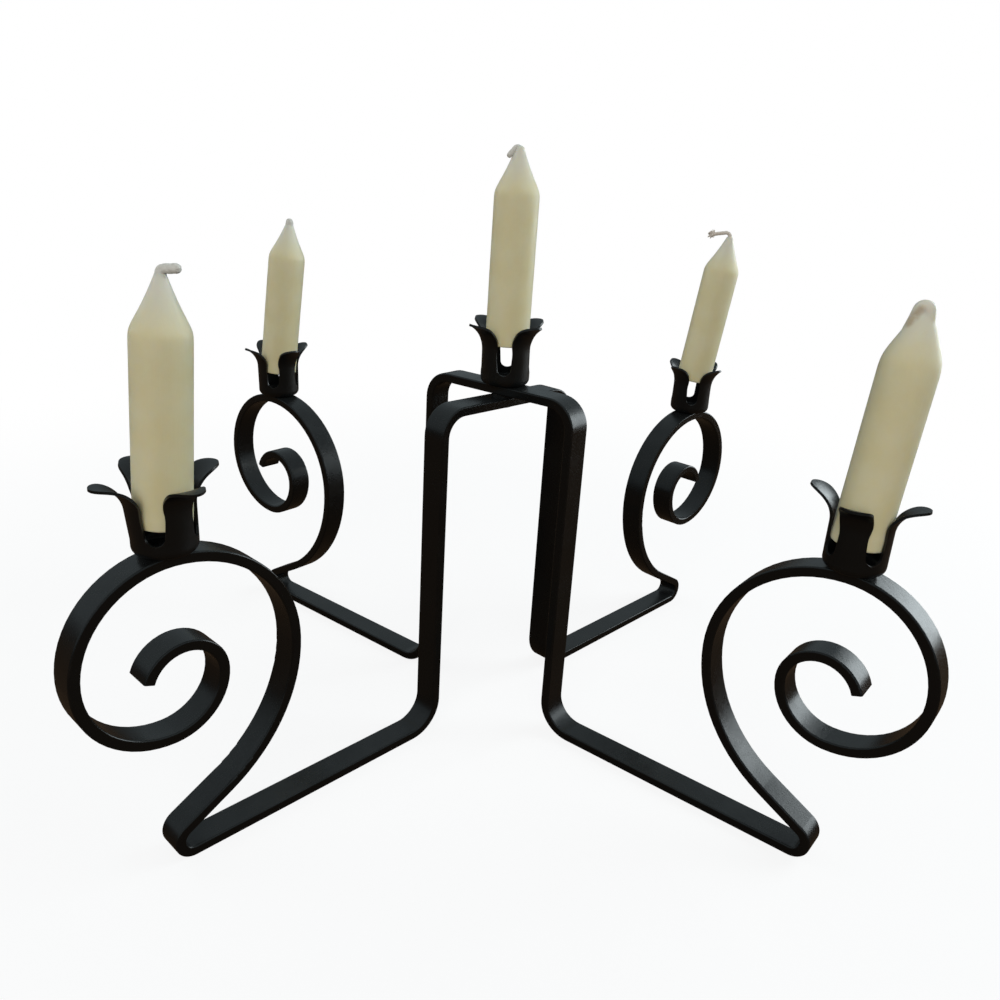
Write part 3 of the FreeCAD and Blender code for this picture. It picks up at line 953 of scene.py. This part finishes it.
    def _thicken(self, piece: bpy.types.Object) -> None:
        """Give the outer face its sheet thickness and rounded rims.

        Args:
            piece: The cup's outer face.
        """
        sheet = piece.modifiers.new("sheet", "SOLIDIFY")
        sheet.thickness = self.wall
        sheet.offset = -1.0
        sheet.use_even_offset = True
        rim = piece.modifiers.new("rim", "BEVEL")
        rim.width = self.rim_round
        rim.segments = self.rim_segments
        rim.limit_method = "ANGLE"
        rim.angle_limit = math.radians(self.rim_angle_deg)
        piece.modifiers.new("normals", "WEIGHTED_NORMAL").keep_sharp = True


@dataclass
class CandlePlace:
    """Foot, lean and size of a candle, read from its CAD node and its joint."""

    foot: Vector
    turn: Quaternion
    length: float
    radius: float
    cone_height: float = 14.0 * MM

    @classmethod
    def of_node(cls, node: bpy.types.Object, axis: Vector, sole_depth: float = 0.05 * MM) -> "CandlePlace":
        """Return the place of a CAD candle.

        Args:
            node: The candle's CAD object.
            axis: Unit direction in which it lifts out.
            sole_depth: How far above its lowest point the sole may reach.

        Returns:
            Its foot, lean, length and radius.
        """
        points = [vertex.co.copy() for vertex in node.data.vertices]
        heights = [point.dot(axis) for point in points]
        lowest, highest = min(heights), max(heights)
        sole = [point for point, height in zip(points, heights) if height < lowest + sole_depth]
        foot = sum(sole, Vector()) / len(sole)
        radius = max((point - foot - axis * (point - foot).dot(axis)).length for point in points)
        return cls(foot, UP.rotation_difference(axis), highest - lowest, radius)

    @property
    def shoulder(self) -> float:
        """Height above the foot at which the pointed top begins."""
        return self.length - self.cone_height

    @property
    def matrix(self) -> Matrix:
        """Placement of a piece that is drawn upright on its foot."""
        return Matrix.Translation(self.foot) @ self.turn.to_matrix().to_4x4()


@dataclass(frozen=True)
class DippedLoop:
    """A wick folded over and dipped: two legs and a round bend, fused with the pointed top.

    Heights count from the candle's shoulder, and the loop lies along the heading.
    """

    heading_deg: float = 110.0
    forward: float = 0.3 * MM
    offset: float = 0.45 * MM
    bend_height: float = 13.6 * MM
    bend_radius: float = 1.15 * MM
    foot_spread: float = 2.7 * MM
    foot_height: float = 4.6 * MM
    coat: float = 1.95 * MM
    coat_sides: int = 24
    leg_steps: int = 6
    leg_settle: float = 1.1
    step_deg: int = 10

    def course(self, shoulder: float) -> list[Vector]:
        """Return points along the loop's middle.

        Args:
            shoulder: Height of the candle's shoulder above its foot.

        Returns:
            Points from one leg's foot over the bend to the other's.
        """
        aside = around(math.radians(self.heading_deg))
        front = UP.cross(aside) * self.forward
        leg: list[Point] = []
        for step in range(self.leg_steps):
            share = step / self.leg_steps
            narrowed = (self.bend_radius - self.foot_spread) * smooth_step(0.0, self.leg_settle, share)
            leg.append((self.foot_spread + narrowed,
                        self.foot_height + (self.bend_height - self.foot_height) * share))
        bend = [(self.bend_radius * math.cos(math.radians(angle)),
                 self.bend_height + self.bend_radius * math.sin(math.radians(angle)))
                for angle in range(0, 181, self.step_deg)]
        line = leg + bend + [(-spread, height) for spread, height in reversed(leg)]
        return [aside * (spread + self.offset) + front + UP * (shoulder + height) for spread, height in line]


@dataclass
class PointedCandle:
    """A candle with a straight shaft and a pointed top, which may be dipped over a folded wick."""

    light: Light
    place: CandlePlace
    cone_hollow: float = 0.35 * MM
    dipped_hollow: float = -0.2 * MM
    nub: float = 1.6 * MM
    dome: float = 1.1 * MM
    foot_round: float = 0.7 * MM
    dipped_foot: float = 1.3 * MM
    shoulder_round: float = 0.45 * MM
    shoulder_span: float = 3.0 * MM
    unevenness: float = 0.05 * MM
    swell_scale: float = 160.0
    swell_stretch: float = 0.35
    swell_seed: float = 7.0
    segments: int = 72
    sole_rings: Triple = (0.35, 0.7, 0.97)
    foot_steps: int = 5
    shaft_steps: int = 36
    cone_steps: int = 34
    dome_steps: int = 6
    fuse_cell: float = 0.28 * MM
    settle_factor: float = 0.5
    settle_rounds: int = 14

    def build(self, material: bpy.types.Material) -> bpy.types.Object:
        """Make the wax in place of its CAD node.

        Args:
            material: The wax.

        Returns:
            The finished piece.
        """
        node = f"candle_{self.light.name}"
        draft = MeshDraft()
        draft.add_lathe(self._profile(), self.segments)
        seed = UP * self.swell_seed * len(self.light.name)
        for point in draft.points:
            level = Vector((point.x, point.y, 0.0))
            if level.length > self.nub:
                drawn = Vector((point.x, point.y, point.z * self.swell_stretch))
                swell = noise.noise(drawn * self.swell_scale + seed)
                point += level.normalized() * min(swell * self.unevenness, self.unevenness / 2)
        if self.dipped:
            loop = DippedLoop()
            course = loop.course(self.place.shoulder)
            draft.add_tube(course, [loop.coat] * len(course), loop.coat_sides)
        piece = draft.to_object(f"{node}_wax")
        piece.matrix_world = self.place.matrix
        piece.data.materials.append(material)
        if self.dipped:
            self._fuse(piece)
        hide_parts(node)
        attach(piece, node)
        return piece

    @property
    def dipped(self) -> bool:
        """Whether the folded wick is fused into the top."""
        return self.light.wick.end is WickEnd.WAXED

    def _fuse(self, piece: bpy.types.Object) -> None:
        """Melt the dipped loop and the pointed top into one smooth skin.

        Args:
            piece: The candle with its loop.
        """
        melt = piece.modifiers.new("melt", "REMESH")
        melt.mode = "VOXEL"
        melt.voxel_size = self.fuse_cell
        melt.use_smooth_shade = True
        settle = piece.modifiers.new("settle", "SMOOTH")
        settle.factor = self.settle_factor
        settle.iterations = self.settle_rounds

    def _profile(self) -> list[Point]:
        """Return radius and height of each ring from foot to tip.

        Returns:
            The rings in order.
        """
        radius = self.place.radius - self.unevenness / 2
        top, shoulder = self.place.length, self.place.shoulder
        sole = -self.dipped_foot if self.dipped else 0.0
        hollow = self.dipped_hollow if self.dipped else self.cone_hollow
        rings: list[Point] = [(0.0, sole)]
        rings += [((radius - self.foot_round) * share, sole) for share in self.sole_rings]
        for step in range(self.foot_steps + 1):
            angle = QUARTER * step / self.foot_steps
            rings.append((radius - self.foot_round * (1 - math.sin(angle)),
                          sole + self.foot_round * (1 - math.cos(angle))))
        shaft = shoulder - self.shoulder_span - self.foot_round
        rings += [(radius, self.foot_round + shaft * step / self.shaft_steps)
                  for step in range(1, self.shaft_steps + 1)]
        rise = self.place.cone_height + self.shoulder_span
        for step in range(1, self.cone_steps + 1):
            height = rise * step / self.cone_steps - self.shoulder_span
            share = height / self.place.cone_height
            slant = radius + (self.nub - radius) * share - 4 * hollow * share * (1 - share)
            soft = self.shoulder_round * math.log1p(math.exp(-abs(slant - radius) / self.shoulder_round))
            rings.append((min(slant, radius) - soft, shoulder + height))
        for step in range(1, self.dome_steps):
            angle = QUARTER * step / self.dome_steps
            rings.append((self.nub * math.cos(angle), top + self.dome * math.sin(angle)))
        return rings + [(0.0, top + self.dome)]


@dataclass
class CottonWick:
    """A wick of three twisted strands that bends over at the candle's tip."""

    light: Light
    place: CandlePlace
    sunk: float = 4.0 * MM
    pitch: float = 5.5 * MM
    strand_share: float = 0.86
    root_flare: float = 0.12
    root_span: float = 1.8 * MM
    end_share: float = 0.15
    step: float = 0.16 * MM
    strands: int = 3
    sides: int = 14
    fibres: int = 64
    fibre_seed: int = 11
    fibre_sides: int = 5
    fibre_root: float = 0.6 * MM
    fibre_carry: float = 0.3
    fibre_rise: Point = (-0.8, 1.0)
    fibre_spread: Point = (-0.6, 0.6)
    fibre_ahead: Point = (0.1, 0.7)
    fibre_reach_mm: Point = (1.1, 2.4)
    fibre_shares: tuple[float, ...] = (0.0, 0.35, 0.7, 1.0)
    fibre_radii: tuple[float, ...] = (0.24 * MM, 0.25 * MM, 0.22 * MM, 0.15 * MM)

    def build(self, cotton: bpy.types.Material) -> bpy.types.Object:
        """Make the wick in place of its CAD node.

        Args:
            cotton: Finish of the strands.

        Returns:
            The finished piece.
        """
        node = f"wick_{self.light.name}"
        course = self._course()
        draft = MeshDraft()
        self._add_strands(draft, course)
        if self.light.wick.end is WickEnd.FRAYED:
            self._add_fray(draft, course)
        piece = draft.to_object(f"{node}_cotton")
        piece.data.materials.append(cotton)
        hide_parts(node)
        piece.matrix_world = self.place.matrix
        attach(piece, f"candle_{self.light.name}")
        return piece

    def _course(self) -> list[Vector]:
        """Return points along the wick's middle, from inside the wax to the free end.

        Returns:
            The points in order.
        """
        bend = self.light.wick
        if bend.end is WickEnd.WAXED:
            return DippedLoop().course(self.place.shoulder)
        aside = around(math.radians(bend.heading_deg))
        start = Vector((0.0, 0.0, self.place.length + bend.stub))
        upright = self.sunk + bend.stub
        count = max(2, round(upright / self.step))
        points = [start - UP * upright * (1 - index / count) for index in range(count)]
        turn = math.radians(bend.bend_deg)
        count = max(3, round(turn * bend.bend_radius / self.step))
        for index in range(count + 1):
            angle = turn * index / count
            points.append(start + aside * bend.bend_radius * (1 - math.cos(angle))
                          + UP * bend.bend_radius * math.sin(angle))
        ahead = aside * math.sin(turn) + UP * math.cos(turn)
        count = max(2, round(bend.tail / self.step))
        end = points[-1]
        return points + [end + ahead * bend.tail * index / count for index in range(1, count + 1)]

    def _add_strands(self, draft: MeshDraft, course: Sequence[Vector]) -> None:
        """Add the twisted strands along a course.

        Args:
            draft: Mesh that takes them.
            course: Points along the wick's middle.
        """
        frames = carried_frames(course_tangents(course))
        runs = [0.0]
        for before, point in zip(course, course[1:]):
            runs.append(runs[-1] + (point - before).length)
        strand_radius = self.light.wick.radius * self.strand_share
        orbit = self.light.wick.radius - strand_radius
        swells = [self._swell(run, runs[-1]) for run in runs]
        for strand in range(self.strands):
            line = []
            for point, (across, over), run, swell in zip(course, frames, runs, swells):
                angle = math.tau * (run / self.pitch + strand / self.strands)
                line.append(point + (across * math.cos(angle) + over * math.sin(angle)) * orbit * swell)
            draft.add_tube(line, [strand_radius * swell for swell in swells], self.sides)

    def _swell(self, run: float, whole: float) -> float:
        """Return the wick's thickness as a share of its usual radius: wide at its root, round at its end.

        Args:
            run: Length along the wick.
            whole: Full length of the wick.

        Returns:
            The share.
        """
        root = 1.0 - smooth_step(self.sunk, self.sunk + self.root_span, run)
        left = min(1.0, max(0.0, (whole - run) / self.light.wick.radius))
        return (1.0 + self.root_flare * root) * max(self.end_share, math.sqrt(left * (2.0 - left)))

    def _add_fray(self, draft: MeshDraft, course: Sequence[Vector]) -> None:
        """Add loose fibres that splay from the free end.

        Args:
            draft: Mesh that takes them.
            course: Points along the wick's middle.
        """
        chance = random.Random(self.fibre_seed)
        ahead = course_tangents(course)[-1]
        start = course[-1] - ahead * self.fibre_root
        for _ in range(self.fibres):
            rise = UP * chance.uniform(*self.fibre_rise)
            spread = Vector((chance.uniform(*self.fibre_spread), chance.uniform(*self.fibre_spread), 0.0))
            way = (ahead * chance.uniform(*self.fibre_ahead) + (rise + spread)).normalized()
            reach = chance.uniform(*self.fibre_reach_mm) * MM
            line = [start + ahead * reach * self.fibre_carry * share + way * reach * share
                    for share in self.fibre_shares]
            draft.add_tube(line, self.fibre_radii, self.fibre_sides)


@dataclass(frozen=True)
class PhotoCamera:
    """A camera at the photograph's place and angle."""

    place: Triple = (-0.238010, -0.220058, 0.210857)
    yaw_deg: float = 47.206
    pitch_deg: float = -20.483
    roll_deg: float = 3.473
    focal_px: float = 866.387
    centre_px: Point = (496.771, 498.816)
    image_px: float = 1000.0
    sensor_mm: float = 36.0
    clip: Point = (0.01, 50.0)

    def build(self) -> None:
        """Add the camera and make it the scene's own."""
        yaw, pitch, roll = (math.radians(angle) for angle in (self.yaw_deg, self.pitch_deg, self.roll_deg))
        ahead = Vector((math.sin(yaw) * math.cos(pitch), math.cos(yaw) * math.cos(pitch), math.sin(pitch)))
        level = Vector((math.cos(yaw), -math.sin(yaw), 0.0))
        over = level.cross(ahead)
        right = level * math.cos(roll) + over * math.sin(roll)
        top = over * math.cos(roll) - level * math.sin(roll)
        data = bpy.data.cameras.new("photo_camera")
        data.sensor_width = self.sensor_mm
        data.lens = self.focal_px / self.image_px * self.sensor_mm
        data.shift_x = (self.image_px / 2 - self.centre_px[0]) / self.image_px
        data.shift_y = (self.centre_px[1] - self.image_px / 2) / self.image_px
        data.clip_start, data.clip_end = self.clip
        camera = bpy.data.objects.new("photo_camera", data)
        bpy.context.scene.collection.objects.link(camera)
        turn = Matrix((right, top, -ahead)).transposed().to_4x4()
        camera.matrix_world = Matrix.Translation(Vector(self.place)) @ turn
        bpy.context.scene.camera = camera


@dataclass(frozen=True)
class SoftLight:
    """One soft box of the studio."""

    name: str
    use: LightUse
    place: Triple
    size: Point
    power: float
    colour: Colour
    aim: Triple = (0.0, 0.0, 0.14)

    def build(self) -> None:
        """Add the soft box to the scene."""
        data = bpy.data.lights.new(self.name, "AREA")
        data.shape = "RECTANGLE"
        data.size, data.size_y = self.size
        data.energy = self.power
        data.color = self.colour
        lamp = bpy.data.objects.new(self.name, data)
        bpy.context.scene.collection.objects.link(lamp)
        place = Vector(self.place)
        turn = (Vector(self.aim) - place).to_track_quat("-Z", "Y")
        lamp.matrix_world = Matrix.Translation(place) @ turn.to_matrix().to_4x4()
        lamp.visible_camera = False
        lamp.visible_glossy = self.use is LightUse.GLINT
        lamp.visible_diffuse = self.use is LightUse.FILL


@dataclass
class Studio:
    """Pale floor, soft surroundings and soft boxes."""

    floor_half: float = 6.0
    floor_seen: Colour = (0.86, 0.86, 0.86)
    floor_bounce: Colour = (0.078, 0.046, 0.026)
    floor_near: float = 0.22
    floor_far: float = 0.60
    floor_glow: float = 0.86
    sky_seen: Colour = (1.0, 1.0, 1.0)
    sky_top: Colour = (0.25, 0.30, 0.32)
    sky_rise: float = 0.2
    sky_side: Colour = (0.030, 0.028, 0.026)
    boxes: tuple[SoftLight, ...] = (
        SoftLight("right_window", LightUse.GLINT, place=(1.40, -0.44, 0.39), size=(1.05, 0.7), power=9.5,
                  colour=(0.88, 0.97, 1.0), aim=(0.0, 0.0, 0.10)),
        SoftLight("right_box", LightUse.FILL, place=(1.05, -0.55, 0.65), size=(0.8, 0.8), power=13.0,
                  colour=(0.88, 0.97, 1.0)),
        SoftLight("front_box", LightUse.FILL, place=(-1.40, -1.00, 0.80), size=(1.6, 1.2), power=23.0,
                  colour=(1.0, 0.97, 0.94)),
        SoftLight("left_box", LightUse.FILL, place=(-0.35, 1.10, 0.50), size=(1.0, 0.9), power=5.0,
                  colour=(0.97, 0.99, 1.0)),
    )

    def build(self) -> None:
        """Add the floor, the surroundings and the soft boxes."""
        self._lay_floor()
        self._wrap_sky()
        for box in self.boxes:
            box.build()
        settings = bpy.context.scene.view_settings
        settings.view_transform = "Standard"
        settings.look = "None"

    def _lay_floor(self) -> None:
        """Add the floor, which is paler to the eye than in the part's reflections."""
        half = self.floor_half
        square = ((-half, -half), (half, -half), (half, half), (-half, half))
        floor = MeshDraft([Vector((x, y, 0.0)) for x, y in square], [(0, 1, 2, 3)]).to_object("floor")
        material = bpy.data.materials.new("pale_floor")
        bench = NodeBench.fresh(material)
        seen, bounce = bench.add("ShaderNodeBsdfDiffuse"), bench.add("ShaderNodeBsdfDiffuse")
        away = bench.add("ShaderNodeEmission")
        for node, colour in ((seen, self.floor_seen), (bounce, self.floor_bounce), (away, self.sky_seen)):
            node.inputs["Color"].default_value = (*colour, 1.0)
        reach = bench.add("ShaderNodeVectorMath", operation="LENGTH")
        bench.join(bench.place(), reach.inputs[0])
        glow = bench.ramp(reach.outputs["Value"], self.floor_near, self.floor_far, to_low=self.floor_glow)
        eye = bench.add("ShaderNodeLightPath").outputs["Is Camera Ray"]
        fade, choice = bench.add("ShaderNodeMixShader"), bench.add("ShaderNodeMixShader")
        for node, sources in ((fade, (glow, seen.outputs[0], away.outputs[0])),
                              (choice, (eye, bounce.outputs[0], fade.outputs[0]))):
            for target, source in zip(node.inputs, sources):
                bench.join(source, target)
        bench.join(choice.outputs[0], bench.add("ShaderNodeOutputMaterial").inputs["Surface"])
        floor.data.materials.append(material)

    def _wrap_sky(self) -> None:
        """Set the surroundings: pale to the eye, and a soft fall of light from above on the part."""
        world = bpy.data.worlds.new("studio_sky")
        bpy.context.scene.world = world
        bench = NodeBench.fresh(world)
        height = bench.upward(bench.add("ShaderNodeTexCoord").outputs["Generated"])
        light = bench.mix(bench.ramp(height, 0.0, self.sky_rise), self.sky_side, self.sky_top)
        eye = bench.add("ShaderNodeLightPath").outputs["Is Camera Ray"]
        sky = bench.add("ShaderNodeBackground")
        bench.join(bench.mix(eye, light, self.sky_seen), sky.inputs["Color"])
        bench.join(sky.outputs[0], bench.add("ShaderNodeOutputWorld").inputs["Surface"])


def main() -> None:
    """Build the candelabra's looks, the studio and the camera."""
    logging.basicConfig(level=logging.INFO, format="%(message)s")
    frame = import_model()
    PhotoCamera().build()
    Studio().build()
    groups = EffectGroups()
    strip = LacquerFinish("strip_lacquer").build(groups)
    sheet = LacquerFinish("sheet_lacquer", roughness=0.36, rub_reach=0.4 * MM,
                          peel_scale=1900.0).build(groups)
    fastener = LacquerFinish("rivet_lacquer", rub_share=0.8, roughness=0.38).build(groups)
    wax = WaxFinish("candle_wax").build(groups)
    # Spots down the dipped top by the folded loop, where brown stain and painted shade go.
    streak = ((-0.0033, 0.0006, 0.0680), (-0.0033, 0.0017, 0.0662), (-0.0030, 0.0027, 0.0642))
    dip = WaxFinish("dipped_wax", stain_and_shade_spots=streak, top=71.2 * MM).build(groups)
    cotton = CottonFinish("wick_cotton").build(groups)
    bare = CottonFinish("bare_cotton", clean=(0.70, 0.645, 0.58), soiled=(0.50, 0.43, 0.36)).build(groups)
    ScrollFrame(frame["nodes"], strip, fastener).dress()
    axes = {joint["child"]: Vector(joint["axis"]).normalized() for joint in frame["joints"]}
    for light in LIGHTS:
        node = f"candle_{light.name}"
        place = CandlePlace.of_node(frame["nodes"][node], axes[node])
        candle = PointedCandle(light, place)
        pieces = [PetalCup(light).build(sheet), candle.build(dip if candle.dipped else wax),
                  CottonWick(light, place).build(bare if light.wick.end is WickEnd.FRAYED else cotton)]
        for piece in pieces:
            LOG.info("%s: %d faces", piece.name, len(piece.data.polygons))


if __name__ == "__main__":
    main()
